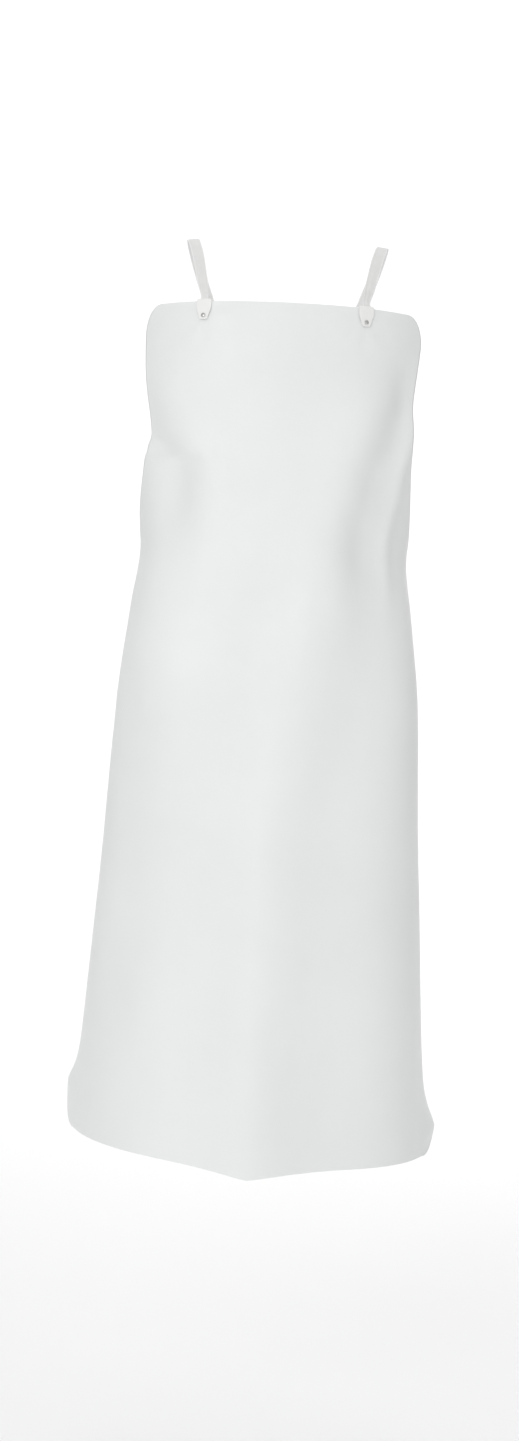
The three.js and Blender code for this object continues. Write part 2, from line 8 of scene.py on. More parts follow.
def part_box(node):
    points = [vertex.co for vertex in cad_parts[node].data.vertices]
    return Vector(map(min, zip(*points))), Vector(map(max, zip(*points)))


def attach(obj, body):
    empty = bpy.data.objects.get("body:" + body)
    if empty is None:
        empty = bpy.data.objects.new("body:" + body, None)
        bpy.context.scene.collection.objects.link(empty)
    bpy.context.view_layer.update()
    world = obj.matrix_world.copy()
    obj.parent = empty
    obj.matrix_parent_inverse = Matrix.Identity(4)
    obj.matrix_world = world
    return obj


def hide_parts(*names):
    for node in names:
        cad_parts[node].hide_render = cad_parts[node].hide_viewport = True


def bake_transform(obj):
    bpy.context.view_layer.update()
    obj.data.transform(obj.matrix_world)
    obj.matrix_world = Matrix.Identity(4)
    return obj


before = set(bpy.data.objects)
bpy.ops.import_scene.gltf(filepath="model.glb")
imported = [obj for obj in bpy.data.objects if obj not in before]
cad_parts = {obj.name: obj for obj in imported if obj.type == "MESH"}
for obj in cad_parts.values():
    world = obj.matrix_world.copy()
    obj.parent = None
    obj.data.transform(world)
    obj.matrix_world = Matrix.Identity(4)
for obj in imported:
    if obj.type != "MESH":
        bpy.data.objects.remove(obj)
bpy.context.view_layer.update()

# A butcher apron, as worn: metres, +Z up, the front faces -Y, +X is the wearer's left.
# The sheet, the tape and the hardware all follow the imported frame's surfaces and lines.

mm = 0.001
gap = 0.3 * mm
standOff = 1.0 * mm  # of flat tape from the curved sheet
sideNames = {1: "left", -1: "right"}

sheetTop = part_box("apron_panel")[1][2]
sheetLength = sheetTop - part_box("apron_panel")[0][2]


def stage(text):
    print("apron:", text)


def smooth(t):
    c = min(max(t, 0.0), 1.0)
    return c * c * (3 - 2 * c)


def mix(a, b, t):
    return a + (b - a) * t


def through(points, x):
    # a soft line through [x, y] points
    if x <= points[0][0]:
        return points[0][1]
    for (x0, y0), (x1, y1) in zip(points, points[1:]):
        if x <= x1:
            return mix(y0, y1, smooth((x - x0) / (x1 - x0)))
    return points[-1][1]


def collect(name, bm, material):
    mesh = bpy.data.meshes.new(name)
    bm.to_mesh(mesh)
    bm.free()
    piece = bpy.data.objects.new(name, mesh)
    bpy.context.scene.collection.objects.link(piece)
    mesh.materials.append(material)
    for polygon in mesh.polygons:
        polygon.use_smooth = True
    return piece


def finish(piece, body, node):
    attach(piece, body)
    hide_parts(node)


# The cut of the sheet, flat. Widths are half widths; the armholes run from armholeStart to armholeEnd.
sheetCut = {
    "thickness": 0.5 * mm,
    "bibHalf": 199 * mm,
    "neckHalf": 188 * mm,
    "waistHalf": 345 * mm,
    "hemHalf": 372 * mm,
    "bibCornerAcross": 30 * mm,
    "bibCornerDown": 42 * mm,
    "armholeStart": 150 * mm,
    "armholeEnd": 382 * mm,
    "armholeSweep": 2.3,
    "waistCornerBlend": 7 * mm,
    "hemCorner": 75 * mm,
    "columns": 150,
    "bibCornerRows": 14,
    "hemCornerRows": 20,
    "rowStep": 5 * mm,
    "fineRows": (0.36, 0.4, 2 * mm),  # from, to and step of the rows at the waist's corner
}

bibRivet = {"across": 105 * mm, "down": 19 * mm}  # where the straps are riveted to the bib

# How the sheet lies on the wearer, in millimetres and degrees: drop below the bib's edge, depth of the
# front, angle of the ridge down the middle, the turn round the sides with its start and end, and the
# rise of the sides.
worn = [
    {"drop": 0, "front": 126, "ridge": 14, "turn": 90, "start": 20, "end": 360, "rise": 0},
    {"drop": 156, "front": 142, "ridge": 8, "turn": 100, "start": 5, "end": 380, "rise": 0},
    {"drop": 284, "front": 150, "ridge": 3, "turn": 130, "start": -10, "end": 400, "rise": 0},
    {"drop": 382, "front": 150, "ridge": 2, "turn": 170, "start": 27, "end": 430, "rise": 0},
    {"drop": 502, "front": 152, "ridge": 2, "turn": 150, "start": 29, "end": 430, "rise": 0},
    {"drop": 762, "front": 160, "ridge": 6, "turn": 118, "start": 8, "end": 430, "rise": 6},
    {"drop": 1091, "front": 178, "ridge": 10, "turn": 90, "start": 3, "end": 400, "rise": 20},
]

# The ridge fades over this length and has this radius; a section is stepped round the wearer.
drape = {"fade": 120 * mm, "ridgeRadius": 8 * mm, "step": 2.5 * mm, "steps": 168}


def between(key, drop):
    # one smooth value between the stations of the worn list, drop in millimetres
    last = len(worn) - 1
    k = next(i for i in range(1, last + 1) if drop < worn[i]["drop"] or i == last)

    def slope(i):
        low, high = worn[max(i - 1, 0)], worn[min(i + 1, last)]
        return (high[key] - low[key]) / (high["drop"] - low["drop"])

    a, b = worn[k - 1], worn[k]
    span = b["drop"] - a["drop"]
    t = min(max((drop - a["drop"]) / span, -0.5), 1)
    return ((2 * t**3 - 3 * t**2 + 1) * a[key] + (t**3 - 2 * t**2 + t) * span * slope(k - 1)
            + (3 * t**2 - 2 * t**3) * b[key] + (t**3 - t**2) * span * slope(k))


def halfWidth(drop):
    cut = sheetCut
    bib = cut["bibHalf"] - (cut["bibHalf"] - cut["neckHalf"]) * smooth(drop / cut["armholeStart"])
    along = max(0.0, (drop - cut["armholeStart"]) / (cut["armholeEnd"] - cut["armholeStart"]))
    armhole = bib + (cut["waistHalf"] - cut["neckHalf"]) * along ** cut["armholeSweep"]
    flare = max(0.0, drop - cut["armholeEnd"]) / (sheetLength - cut["armholeEnd"])
    side = mix(cut["waistHalf"], cut["hemHalf"], flare)
    blend = cut["waistCornerBlend"]
    outline = min(armhole, side) - blend * math.log1p(math.exp(-abs(armhole - side) / blend))
    top = max(0.0, 1 - drop / cut["bibCornerDown"])
    hem = min(1.0, max(0.0, 1 - (sheetLength - drop) / cut["hemCorner"]))
    outline -= cut["bibCornerAcross"] * (1 - math.sqrt(max(0.0, 1 - top**2)))
    return outline - cut["hemCorner"] * (1 - math.sqrt(max(0.0, 1 - hem**2)))


sections = {}  # one horizontal section for each drop, worked out once


def section(drop):
    key = round(drop * 1e5)
    if key not in sections:
        d, step = drop / mm, drape["step"]
        ridge, turn = math.radians(between("ridge", d)), math.radians(between("turn", d))
        start, end = between("start", d) * mm, between("end", d) * mm

        def heading(r):
            middle = ridge * math.exp(-r / drape["fade"]) * min(1.0, r / drape["ridgeRadius"])
            return middle + turn * smooth((r - start) / (end - start))

        x, y = 0.0, -between("front", d) * mm
        points = [(x, y)]
        for i in range(drape["steps"]):
            middle = heading((i + 0.5) * step)
            x += math.cos(middle) * step
            y += math.sin(middle) * step
            points.append((x, y))
        sections[key] = (points, heading, between("rise", d) * mm)
    return sections[key]


def onSheet(s, drop, out=0.0):
    # the place at s round the sheet from its middle, out from its face
    points, heading, rise = section(drop)
    reach = abs(s)
    place = reach / drape["step"]
    i = min(int(place), len(points) - 2)
    t = place - i
    x, y = (mix(points[i][k], points[i + 1][k], t) for k in (0, 1))
    end = heading(reach)
    x += math.sin(end) * out
    y -= math.cos(end) * out
    z = sheetTop - drop + rise * (1 - math.exp(-reach / drape["fade"]))
    return Vector((-x if s < 0 else x, y, z))


def sheetFrame(s, drop):
    at = onSheet(s, drop)
    side = (onSheet(s + mm, drop) - onSheet(s - mm, drop)).normalized()
    up = (onSheet(s, drop - mm) - onSheet(s, drop + mm)).normalized()
    out = side.cross(up).normalized()
    return {"at": at, "side": side, "up": out.cross(side), "out": out}


# Soft ridges and hollows in the cloth, in millimetres: each runs through [drop, s] places.
folds = [
    {"through": [[130, 118], [240, 92], [330, 72], [500, 36], [700, 8], [1080, 2]],
     "height": 10, "width": 34},
    {"through": [[110, 172], [160, 150], [215, 128], [280, 112]], "height": -9, "width": 22},
    {"through": [[150, 186], [220, 170], [290, 160]], "height": 3.5, "width": 9},
    {"through": [[110, -150], [165, -120], [230, -98]], "height": 5, "width": 27},
    {"through": [[160, -190], [186, -160], [205, -132]], "height": -10, "width": 22},
    {"through": [[250, -180], [330, -160], [430, -150]], "height": 3.5, "width": 28},
    {"through": [[520, -190], [700, -180], [860, -190]], "height": -5, "width": 30},
    {"through": [[620, -70], [820, -60], [1060, -90]], "height": -3, "width": 34},
    {"through": [[300, 150], [420, 134], [560, 118], [700, 104], [900, 100], [1080, 104]],
     "height": -9, "width": 42},
]

# The rest of the cloth's relief, in millimetres.
cloth = {
    "foldStart": 90, "foldEnd": 20, "foldFade": 110,  # how a fold begins and dies along its line
    "crestOnBib": 34, "crestAtHem": 9, "crestFrom": 150, "crestOver": 450,  # softness of the ridge
    "waves": [(1.3, 95, 150, 1.7), (0.35, 34, 60, 4.2)],  # height, size across and down, seed
    "calm": (340, 470, 6, 60),  # flat at the waist's corners: from, to, band at the edge, fade
    "roll": 0.9, "rollBand": 9, "rollWave": 70, "rollSeed": 8.1,  # of the cut edges
    "pucker": 0.45, "puckers": 6, "puckerRadius": 26, "puckerBand": 15,  # round the bib's rivets
    "rivetFlat": 12, "rivetFade": 50,
}


def foldHeight(fold, x, d):
    line, fade = fold["through"], cloth["foldFade"]
    begun = smooth((d - line[0][0] + cloth["foldStart"]) / fade)
    ended = 1 - smooth((d - line[-1][0] - cloth["foldEnd"]) / fade)
    away = (x - through(line, d)) / fold["width"]
    return fold["height"] * (begun * ended) * math.exp(-0.5 * away**2)


def relief(s, drop):
    # how far the cloth stands off the plain surface; it dies away at the rivets
    x, d = s / mm, drop / mm
    height = 0.0
    for fold in folds:
        height += foldHeight(fold, x, d)
    radius = drape["ridgeRadius"] / mm
    sharper = smooth((d - cloth["crestFrom"]) / cloth["crestOver"])
    crestSize = mix(cloth["crestOnBib"], cloth["crestAtHem"], sharper)
    crest = abs(x) - radius / 2 if abs(x) > radius else x**2 / (2 * radius)
    steep = math.tan(math.radians(between("ridge", d)))
    height -= steep * (math.hypot(x, crestSize) - radius / 2 - crest)
    for size, across, down, seed in cloth["waves"]:
        height += size * noise(Vector((x / across, d / down, seed)))
    inside = halfWidth(drop) / mm - abs(x)
    first, last, band, fade = cloth["calm"]
    calm = smooth((abs(inside) - band) / fade) if first < d < last else 1.0
    edge = max(0.0, 1 - inside / cloth["rollBand"])
    wave = noise(Vector((d / cloth["rollWave"], cloth["rollSeed"], math.copysign(1, x))))
    height = height * calm + cloth["roll"] * edge**2 * (0.5 + wave)
    across, down = abs(x) - bibRivet["across"] / mm, d - bibRivet["down"] / mm
    away = math.hypot(across, down)
    band = math.exp(-((away - cloth["puckerRadius"]) / cloth["puckerBand"]) ** 2)
    pucker = cloth["pucker"] * math.cos(cloth["puckers"] * math.atan2(down, across)) * band
    return (height * smooth((away - cloth["rivetFlat"]) / cloth["rivetFade"]) + pucker) * mm


# The hem's free corners turn out in a tip, and the worn sheet hangs a touch lower on one side.
hemTips = {
    "left": {"above": 36 * mm, "reach": 30 * mm, "out": 13 * mm, "lift": -4 * mm},
    "right": {"above": 44 * mm, "reach": 34 * mm, "out": 9 * mm, "lift": 9 * mm},
    "point": 1.4,
    "forward": 4 * mm,
    "cornerFrom": 0.26, "cornerOver": 0.1, "cornerOut": 2 * mm,
    "lowFrom": 0.85, "lowOver": 0.24, "low": 7 * mm, "lowAt": 0.25,
}


def hang(p, s, drop):
    tip = hemTips["right" if s < 0 else "left"]
    low = smooth((drop - hemTips["lowFrom"]) / hemTips["lowOver"])
    corner = smooth((abs(s) - hemTips["cornerFrom"]) / hemTips["cornerOver"])
    away = abs((drop - sheetLength + tip["above"]) / tip["reach"])
    share = math.exp(-(away ** hemTips["point"])) * corner
    out = math.copysign(hemTips["cornerOut"] * corner * low + tip["out"] * share, s)
    up = tip["lift"] * share - hemTips["low"] * low * s / hemTips["lowAt"]
    return p + Vector((out, -hemTips["forward"] * share, up))


def clothPoint(s, drop):
    return hang(onSheet(s, drop, relief(s, max(0.0, drop))), s, drop)


class Socket:
    # a shader output that takes part in plain arithmetic
    def __init__(self, tree, output):
        self.tree = tree
        self.output = output

    def node(self, kind, inputs, output=0, **settings):
        made = self.tree.nodes.new(kind)
        for key, value in settings.items():
            setattr(made, key, value)
        for place, value in inputs.items():
            if isinstance(value, Socket):
                self.tree.links.new(value.output, made.inputs[place])
            elif value is not None:
                made.inputs[place].default_value = value
        return Socket(self.tree, made.outputs[output])

    def math(self, operation, a, b=None):
        return self.node("ShaderNodeMath", {0: a, 1: b}, operation=operation)

    def __add__(self, other):
        return self.math("ADD", self, other)

    def __rsub__(self, other):
        return self.math("SUBTRACT", other, self)

    def __mul__(self, other):
        return self.math("MULTIPLY", self, other)

    def clamp(self):
        return self.math("MAXIMUM", self.math("MINIMUM", self, 1.0), 0.0)

    def sine(self):
        return self.math("SINE", self)

    def remap(self, low, high, newLow, newHigh):
        return self.node("ShaderNodeMapRange", {0: self, 1: low, 2: high, 3: newLow, 4: newHigh})

    def blend(self, first, second):
        # a colour between two, by this factor
        made = self.tree.nodes.new("ShaderNodeMix")
        made.data_type = "RGBA"
        for place, value in ((0, self), (6, first), (7, second)):
            if isinstance(value, Socket):
                self.tree.links.new(value.output, made.inputs[place])
            else:
                made.inputs[place].default_value = (*value, 1)
        return Socket(self.tree, made.outputs[2])

    def noise(self, scale, detail=2.0, roughness=0.5):
        inputs = {"Vector": self, "Scale": scale, "Detail": detail, "Roughness": roughness}
        return self.node("ShaderNodeTexNoise", inputs, output="Fac")

    def axes(self):
        parts = self.tree.nodes.new("ShaderNodeSeparateXYZ")
        self.tree.links.new(self.output, parts.inputs[0])
        return [Socket(self.tree, parts.outputs[i]) for i in range(3)]


def newMaterial(name, look):
    material = bpy.data.materials.new(name)
    material.use_nodes = True
    tree = material.node_tree
    shader = tree.nodes["Principled BSDF"]
    shader.inputs["Base Color"].default_value = (*look["color"], 1)
    shader.inputs["Roughness"].default_value = look["roughness"]
    shader.inputs["Metallic"].default_value = look.get("metallic", 0.0)
    for key, value in look.get("extra", {}).items():
        shader.inputs[key].default_value = value
    material.diffuse_color = (*look["color"], 1)
    place = tree.nodes.new("ShaderNodeTexCoord")
    return {
        "material": material,
        "tree": tree,
        "shader": shader,
        "object": Socket(tree, place.outputs["Object"]),
        "uv": Socket(tree, place.outputs["UV"]),
    }


def plug(made, name, value):
    made["tree"].links.new(value.output, made["shader"].inputs[name])


def bump(made, height, look):
    inputs = {"Height": height, "Distance": look["depth"], "Strength": look["strength"]}
    plug(made, "Normal", height.node("ShaderNodeBump", inputs, output="Normal"))


# Soft white film, a little pearly: broad clouds of tone, a fine grain and soft creases.
filmLook = {
    "color": (0.83, 0.845, 0.84), "roughness": 0.5,
    "extra": {"Coat Weight": 0.12, "Coat Roughness": 0.38},
    "dark": (0.80, 0.815, 0.812), "light": (0.87, 0.882, 0.876), "clouds": 6.0,
    "shine": 40.0, "shineRange": (0.43, 0.56),
    "grain": (1400.0, 0.10), "pebble": (210.0, 0.5), "creases": (24.0, 2.2),  # scale and height
    "depth": 0.35 * mm, "strength": 0.5,
}

# Narrow woven tape by its UV: U runs across from 0 to 1 and V along in metres. The edges are selvedges.
tapeLook = {
    "color": (0.80, 0.80, 0.79), "roughness": 0.88, "extra": {"Sheen Weight": 0.15},
    "ends": 15, "pick": 1.6 * mm, "rib": 0.7, "weave": 0.3, "selvedge": (0.04, 0.1), "mottle": 60.0,
    "dark": (0.70, 0.70, 0.69), "light": (0.86, 0.86, 0.855), "selvedgeColor": (0.9, 0.9, 0.895),
    "fuzz": (900.0, 0.4), "depth": 0.14 * mm, "strength": 0.7,
}

threadLook = {"color": (0.86, 0.86, 0.85), "roughness": 0.8, "twist": 90.0,
              "depth": 0.1 * mm, "strength": 0.4}

# Hard finishes: clouds of tone between dark and light, an uneven shine and a fine grain.
patchLook = {
    "color": (0.88, 0.88, 0.865), "roughness": 0.5,
    "extra": {"Coat Weight": 0.05, "Coat Roughness": 0.4},
    "dark": (0.83, 0.832, 0.82), "light": (0.9, 0.9, 0.885), "clouds": 30.0,
    "grain": 1200.0, "depth": 0.1 * mm, "strength": 0.5,
}
mouldingLook = {
    "color": (0.84, 0.84, 0.825), "roughness": 0.42,
    "extra": {"Coat Weight": 0.1, "Coat Roughness": 0.3},
    "dark": (0.80, 0.80, 0.785), "light": (0.865, 0.865, 0.85), "clouds": 22.0,
    "shine": 120.0, "shineRange": (0.36, 0.5),
    "grain": 1600.0, "depth": 0.08 * mm, "strength": 0.5,
}
steelLook = {
    "color": (0.55, 0.55, 0.54), "roughness": 0.34, "metallic": 1.0,
    "dark": (0.45, 0.45, 0.44), "light": (0.62, 0.615, 0.60), "clouds": 120.0,
    "shine": 700.0, "shineRange": (0.26, 0.44),
    "grain": 2200.0, "depth": 0.04 * mm, "strength": 0.6,
}
floorLook = {"color": (0.93, 0.93, 0.93), "roughness": 0.8, "shine": 3.0, "shineRange": (0.75, 0.85)}


def shine(made, look, detail):
    uneven = made["object"].noise(look["shine"], detail)
    plug(made, "Roughness", uneven.remap(0.3, 0.7, *look["shineRange"]))


def filmMaterial(name, look):
    made = newMaterial(name, look)
    place = made["object"]
    plug(made, "Base Color", place.noise(look["clouds"], 3.0).blend(look["dark"], look["light"]))
    shine(made, look, 3.0)
    (grain, low), (pebble, high), (creases, deep) = look["grain"], look["pebble"], look["creases"]
    fine = place.noise(grain) * low + place.noise(pebble) * high
    bump(made, fine + place.noise(creases, 4.0, 0.6) * deep, look)
    return made["material"]


def tapeMaterial(name, look):
    made = newMaterial(name, look)
    across, along, _ = made["uv"].axes()
    ends = (across * (2 * math.pi * look["ends"])).sine()
    picks = (along * (2 * math.pi / look["pick"])).sine()
    weave = made["uv"].math("MAXIMUM", ends * picks, ends * picks * -1.0)
    ribs = (ends * 0.5 + 0.5) * look["rib"] + weave * look["weave"]
    fromEdge = made["uv"].math("MINIMUM", across, 1.0 - across)
    selvedge = fromEdge.remap(*look["selvedge"], 1.0, 0.0)
    # Painted shade: the weave's ribs are painted lighter on their crests and darker in the grooves
    # between them, mixed half and half with a random mottle of tone.
    paintedRibShadeAndMottle = (ribs * 0.5 + made["object"].noise(look["mottle"]) * 0.5).clamp()
    cloth = paintedRibShadeAndMottle.blend(look["dark"], look["light"])
    plug(made, "Base Color", selvedge.blend(cloth, look["selvedgeColor"]))
    fuzz, height = look["fuzz"]
    bump(made, ribs + made["object"].noise(fuzz) * height, look)
    return made["material"]


def threadMaterial(name, look):
    made = newMaterial(name, look)
    bump(made, (made["uv"].axes()[1] * look["twist"]).sine(), look)
    return made["material"]


def hardMaterial(name, look):
    made = newMaterial(name, look)
    place = made["object"]
    if "clouds" in look:
        plug(made, "Base Color", place.noise(look["clouds"], 3.0).blend(look["dark"], look["light"]))
    if "shine" in look:
        shine(made, look, 2.0)
    if "grain" in look:
        bump(made, place.noise(look["grain"]), look)
    return made["material"]


film = filmMaterial("whiteFilm", filmLook)
webbing = tapeMaterial("wovenTape", tapeLook)
thread = threadMaterial("whiteThread", threadLook)
patchPlastic = hardMaterial("patchPlastic", patchLook)
moulding = hardMaterial("whiteMoulding", mouldingLook)
steel = hardMaterial("rivetSteel", steelLook)
paleFloor = hardMaterial("paleFloor", floorLook)
stage("materials")


def rowDrops():
    # close together round the bib's and the hem's corners and at the waist's corner
    corner, hem = sheetCut["bibCornerDown"], sheetCut["hemCorner"]
    bibRows, hemRows = sheetCut["bibCornerRows"], sheetCut["hemCornerRows"]
    step, (start, end, fine) = sheetCut["rowStep"], sheetCut["fineRows"]
    drops = [corner * (1 - math.cos(math.radians(90 * i / bibRows))) for i in range(bibRows + 1)]
    spans = ((corner, start, step), (start, end, fine), (end, sheetLength - hem, step))
    for first, last, apart in spans:
        count = round((last - first) / apart)
        drops += [mix(first, last, i / count) for i in range(1, count + 1)]
    return drops + [sheetLength - hem * (1 - math.sin(math.radians(90 * i / hemRows)))
                    for i in range(1, hemRows + 1)]


def apronSheet():
    drops = rowDrops()
    rows = len(drops) - 1
    bm = bmesh.new()
    uv = bm.loops.layers.uv.new("UVMap")
    bmesh.ops.create_grid(bm, x_segments=sheetCut["columns"], y_segments=rows, size=0.5)
    flat = {}
    for vertex in bm.verts:
        drop = drops[round((0.5 - vertex.co.y) * rows)]
        s = 2 * vertex.co.x * halfWidth(drop)
        flat[vertex.index] = (s, drop)
        vertex.co = clothPoint(s, drop)
    for face in bm.faces:
        for loop in face.loops:
            loop[uv].uv = flat[loop.vert.index]
    bm.normal_update()
    front = Vector((0, -0.15, -0.5))  # the face nearest to this place has to look forwards
    middle = min(bm.faces, key=lambda f: (f.calc_center_median() - front).length)
    if middle.normal.y > 0:
        bmesh.ops.reverse_faces(bm, faces=bm.faces)
    area = 0.0
    for upper, lower in zip(drops, drops[1:]):
        area += (halfWidth(upper) + halfWidth(lower)) * (lower - upper)
    piece = collect("apronSheet", bm, film)
    solidify = piece.modifiers.new("thickness", "SOLIDIFY")
    solidify.thickness = sheetCut["thickness"]
    solidify.offset = -1
    finish(piece, "root", "apron_panel")


apronSheet()
stage("sheet")


# Woven tape. A crowned weave between two beaded selvedges: [across, out] in shares of its size.
tape = {"width": 15 * mm, "thickness": 1 * mm, "step": 2 * mm, "wander": 0.12 * mm, "wanderRate": 60,
        "seed": 3.3}
tapeFace = [
    [-0.5, 0.0], [-0.485, 0.42], [-0.455, 0.5], [-0.425, 0.38], [-0.3, 0.41], [-0.15, 0.44], [0.0, 0.45],
    [0.15, 0.44], [0.3, 0.41], [0.425, 0.38], [0.455, 0.5], [0.485, 0.42], [0.5, 0.0],
]
tapeSection = tapeFace + [[-across, -up] for across, up in tapeFace[1:-1]]


def lerpFrame(a, b, t):
    return {key: a[key].lerp(b[key], t) if isinstance(a[key], Vector) else mix(a[key], b[key], t)
            for key in a}


def tapeFrame(at, out, width=tape["width"], pleat=0.0):
    return {"at": at, "out": out.normalized(), "width": width, "pleat": pleat}


def resample(frames, step):
    made = [frames[0]]
    for a, b in zip(frames, frames[1:]):
        count = max(1, math.ceil((b["at"] - a["at"]).length / step))
        made += [lerpFrame(a, b, i / count) for i in range(1, count + 1)]
    return made


def tapeMesh(name, frames):
    frames = resample(frames, tape["step"])
    bm = bmesh.new()
    uv = bm.loops.layers.uv.new("UVMap")
    rounds, along = [], 0.0
    for i, f in enumerate(frames):
        ahead, behind = frames[min(i + 1, len(frames) - 1)]["at"], frames[max(i - 1, 0)]["at"]
        side = f["out"].cross(ahead - behind).normalized()
        out = f["out"].normalized()
        along += (f["at"] - behind).length
        pulled = tape["wander"] * noise(Vector((along * tape["wanderRate"], tape["seed"], len(name))))
        verts = []
        for across, up in tapeSection:
            fold = f["pleat"] * (0.5 + 0.5 * math.cos(4 * math.pi * across)) * mm
            lift = up * tape["thickness"] + fold + pulled
            verts.append(bm.verts.new(f["at"] + side * (across * f["width"]) + out * lift))
        rounds.append((verts, along))
    count = len(tapeSection)
    for (verts, v0), (after, v1) in zip(rounds, rounds[1:]):
        for k in range(count):
            j = (k + 1) % count
            face = bm.faces.new((verts[k], verts[j], after[j], after[k]))
            for loop, (place, v) in zip(face.loops, ((k, v0), (j, v0), (j, v1), (k, v1))):
                loop[uv].uv = (tapeSection[place][0] + 0.5, v)
    bm.faces.new(rounds[0][0])
    bm.faces.new(list(reversed(rounds[-1][0])))
    bmesh.ops.recalc_face_normals(bm, faces=bm.faces)
    return collect(name, bm, webbing), along


def route(stops, count):
    # a smooth route through chosen stops: centripetal for places and uniform for directions
    last = len(stops) - 1

    def four(key, k):
        points = [s[key] for s in stops]
        before = points[k - 1] if k > 0 else points[0] * 2 - points[1]
        after = points[k + 2] if k + 2 <= last else points[last] * 2 - points[last - 1]
        return before, points[k], points[k + 1], after

    def cubic(p1, p2, t1, t2, t):
        return (p1 * (2 * t**3 - 3 * t**2 + 1) + p2 * (3 * t**2 - 2 * t**3)
                + t1 * (t**3 - 2 * t**2 + t) + t2 * (t**3 - t**2))

    def place(x):
        k = min(int(x), last - 1)
        p0, p1, p2, p3 = four("at", k)
        d0, d1, d2 = (max((b - a).length, 1e-7) ** 0.5 for a, b in ((p0, p1), (p1, p2), (p2, p3)))
        t1 = ((p1 - p0) / d0 - (p2 - p0) / (d0 + d1) + (p2 - p1) / d1) * d1
        t2 = ((p2 - p1) / d1 - (p3 - p1) / (d1 + d2) + (p3 - p2) / d2) * d1
        return cubic(p1, p2, t1, t2, x - k)

    frames = []
    for i in range(count + 1):
        x = i / count * last
        k = min(int(x), last - 1)
        tangent = (place(min(x + 1e-3, last)) - place(max(x - 1e-3, 0))).normalized()
        p0, p1, p2, p3 = four("out", k)
        out = cubic(p1, p2, (p2 - p0) * 0.5, (p3 - p1) * 0.5, x - k)
        out = (out - tangent * out.dot(tangent)).normalized()
        frames.append({"at": place(x), "out": out,
                       "width": mix(stops[k]["width"], stops[k + 1]["width"], x - k),
                       "pleat": mix(stops[k]["pleat"], stops[k + 1]["pleat"], x - k)})
    return frames


# The hardware that the tape runs through, and the lines that the tape pulls along.
ring = {"bar": 3.5 * mm, "thickness": 2.2 * mm, "window": 9 * mm, "reach": 8 * mm,
        "rise": 56, "below": 5 * mm}  # rise in degrees above the waist's corner, below the armhole's end
ringTab = {"leaf": 26 * mm, "leafSteps": 10, "rivetInset": 13 * mm}
slider = {"centreBar": 1.4 * mm, "slotPlay": 0.35 * mm, "place": 72 * mm}
buckle = {"housing": 22 * mm, "plug": 6 * mm, "slot": 4.4 * mm, "bar": 3 * mm}
waist = {"below": 52 * mm, "back": 112 * mm, "onCloth": 24 * mm, "past": 12 * mm, "entry": 38 * mm,
         "tail": 34 * mm, "frames": 160, "bendFrom": (-0.125, 0.05), "bendTo": -0.045}
cross = {"at": Vector((0, 0.128, -0.246)), "patch": 1.2 * mm}
turned = {"settle": 16 * mm, "past": 8 * mm, "turnSteps": 24, "easeSteps": 8}

ringMiddle = -(sheetCut["thickness"] + gap) / 2
nearBar = ring["reach"]
farBar = nearBar + ring["bar"] + ring["window"]
loopRadius = math.hypot(ring["bar"], ring["thickness"]) / 2 + gap + tape["thickness"] / 2
layer = slider["centreBar"] / 2 + slider["slotPlay"] + tape["thickness"] / 2
waistDrop = sheetCut["armholeEnd"] + waist["below"]
waistHeight = sheetTop - waistDrop
buckleBar = (buckle["housing"] + buckle["plug"]) / 2 + buckle["slot"] + buckle["bar"] / 2
crossingLift = (tape["thickness"] + standOff) / 2
patchLift = crossingLift + tape["thickness"] / 2 + 2 * gap


def mirrored(p, side):
    return Vector((p.x * side, p.y, p.z))


def mirroredFrames(frames, side):
    return [{**f, "at": mirrored(f["at"], side), "out": mirrored(f["out"], side)} for f in frames]


def harnessLine(side):
    # past the sheet's edge the line is straight; before it, it follows the sheet
    drop = sheetCut["armholeEnd"] + ring["below"]
    s = halfWidth(drop)
    rise = math.radians(ring["rise"])
    edge = sheetFrame(s, drop)
    along = edge["side"] * math.cos(rise) + edge["up"] * math.sin(rise)

    def clothAt(q):
        return s + q * math.cos(rise), drop - q * math.sin(rise)

    def at(q, n=0.0):
        p = onSheet(*clothAt(q), n) if q < 0 else edge["at"] + along * q + edge["out"] * n
        return mirrored(p, side)

    def out(q):
        return mirrored(sheetFrame(*clothAt(q))["out"] if q < 0 else edge["out"], side)

    return {"at": at, "out": out, "along": mirrored(along, side)}


def waistLine(side):
    start = Vector((side * buckleBar, waist["back"], waistHeight))
    return {"at": lambda q, n=0.0: start + Vector((side * q, n, 0)),
            "out": lambda q: Vector((0, 1, 0)), "along": Vector((side, 0, 0))}


def beside(line, points, facing):
    # tape frames through [q, n] places along and off a line
    made = []
    for i, (q, n) in enumerate(points):
        ahead, behind = points[min(i + 1, len(points) - 1)], points[max(i - 1, 0)]
        run = Vector((ahead[0] - behind[0], ahead[1] - behind[1])).normalized()
        out = line["out"](q) * (run.x * facing) - line["along"] * (run.y * facing)
        made.append(tapeFrame(line["at"](q, n), out))
    return made


def halfTurn(q, n, radius, first, last):
    count = turned["turnSteps"]
    angles = [math.radians(mix(first, last, i / count)) for i in range(count + 1)]
    return [[q + radius * math.cos(a), n + radius * math.sin(a)] for a in angles]


def eased(a, b):
    # a soft step between two [q, n] places
    count = turned["easeSteps"]
    return [[mix(a[0], b[0], i / count), mix(a[1], b[1], smooth(i / count))] for i in range(1, count)]


def turnedEnd(line, bar, middle, tail, spacing):
    # the tape comes in under the bar, turns round it and lies back over itself
    settle = bar + turned["settle"]
    low, high = [bar, -loopRadius], [bar, loopRadius]
    inner = [[settle + turned["past"], -spacing], [settle, -spacing]] + eased([settle, -spacing], low)
    outer = eased(high, [settle, spacing]) + [[settle, spacing], [tail, spacing]]
    points = [*inner, *halfTurn(bar, 0, loopRadius, 270, 90), *outer]
    return beside(line, [[q, n + middle] for q, n in points], -1)


